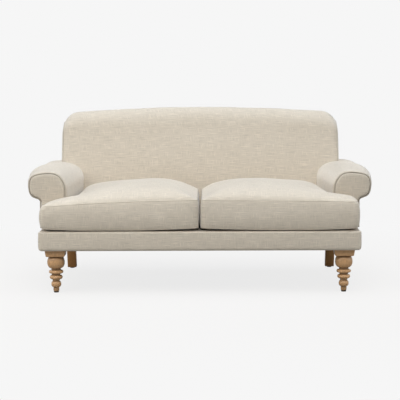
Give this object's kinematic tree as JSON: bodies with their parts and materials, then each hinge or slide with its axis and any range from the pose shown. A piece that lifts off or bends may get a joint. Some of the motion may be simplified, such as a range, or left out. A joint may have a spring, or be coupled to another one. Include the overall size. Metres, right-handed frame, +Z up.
{
  "type": "english roll arm sofa",
  "caption": "Upholstered sofa with low rolled arms, a tight rounded back, loose wrap-front seat cushions and turned wooden front legs.",
  "frame": {"origin": "middle of the footprint on the floor", "axes": "+X to the right of someone facing the sofa, +Y to its back, +Z up"},
  "size_m": [1.6956, 0.9404, 0.86],
  "materials": {
    "linen": "cream slub linen weave",
    "linen_welt": "the same linen over a cord",
    "light_oak": "turned oak, light satin finish",
    "rear_oak": "sawn oak, light satin finish",
    "beech": "planed, unfinished",
    "spring_steel": "drawn wire",
    "bolt_steel": "zinc plated",
    "webbing": "woven jute and elastic strap",
    "foam": "cut foam",
    "cambric": "thin black cloth",
    "nylon": "moulded",
    "zip_tape": "woven tape with a coil",
    "zip_metal": "plated"
  },
  "bodies": {
    "frame": {"front_seat_rail": "beech", "rear_seat_rail": "beech", "right_seat_rail": "beech", "left_seat_rail": "beech", "centre_seat_rail": "beech", "right_front_corner_block": "beech", "left_front_corner_block": "beech", "right_rear_corner_block": "beech", "left_rear_corner_block": "beech", "right_back_post": "beech", "left_back_post": "beech", "top_back_rail": "beech", "lower_back_rail": "beech", "right_arm_post": "beech", "left_arm_post": "beech", "right_arm_rail": "beech", "left_arm_rail": "beech", "back_strap_1": "webbing", "back_strap_2": "webbing", "back_strap_3": "webbing", "back_strap_4": "webbing", "seat_spring_1": "spring_steel", "seat_spring_2": "spring_steel", "seat_spring_3": "spring_steel", "seat_spring_4": "spring_steel", "seat_spring_5": "spring_steel", "seat_spring_6": "spring_steel", "front_right_leg": "light_oak", "front_left_leg": "light_oak", "rear_right_leg": "rear_oak", "rear_left_leg": "rear_oak", "front_right_leg_bolt": "bolt_steel", "front_left_leg_bolt": "bolt_steel", "rear_right_leg_bolt": "bolt_steel", "rear_left_leg_bolt": "bolt_steel", "front_right_glide": "nylon", "front_left_glide": "nylon", "rear_right_glide": "nylon", "rear_left_glide": "nylon", "front_border": "linen", "right_outside_arm": "linen", "left_outside_arm": "linen", "seat_deck": "linen", "dust_cover": "cambric", "right_arm_facing": "linen", "left_arm_facing": "linen", "right_facing_piping": "linen_welt", "left_facing_piping": "linen_welt", "right_arm_pad": "linen", "left_arm_pad": "linen", "inside_back": "linen", "outside_back": "linen"},
    "right_cushion": {"right_cushion_cover": "linen", "right_cushion_core": "foam", "right_zip_tape": "zip_tape"},
    "left_cushion": {"left_cushion_cover": "linen", "left_cushion_core": "foam", "left_zip_tape": "zip_tape"},
    "right_zip_pull": {"right_zip_slider": "zip_metal"},
    "left_zip_pull": {"left_zip_slider": "zip_metal"}
  },
  "joints": [
    {"name": "right_cushion_lift", "type": "slide", "parent": "frame", "child": "right_cushion", "axis": [0, 0, 1], "range_m": [0, 0.3]},
    {"name": "left_cushion_lift", "type": "slide", "parent": "frame", "child": "left_cushion", "axis": [0, 0, 1], "range_m": [0, 0.3]},
    {"name": "right_zip_slide", "type": "slide", "parent": "right_cushion", "child": "right_zip_pull", "axis": [1, 0, 0], "range_m": [0, 0.384]},
    {"name": "left_zip_slide", "type": "slide", "parent": "left_cushion", "child": "left_zip_pull", "axis": [-1, 0, 0], "range_m": [0, 0.384]}
  ]
}
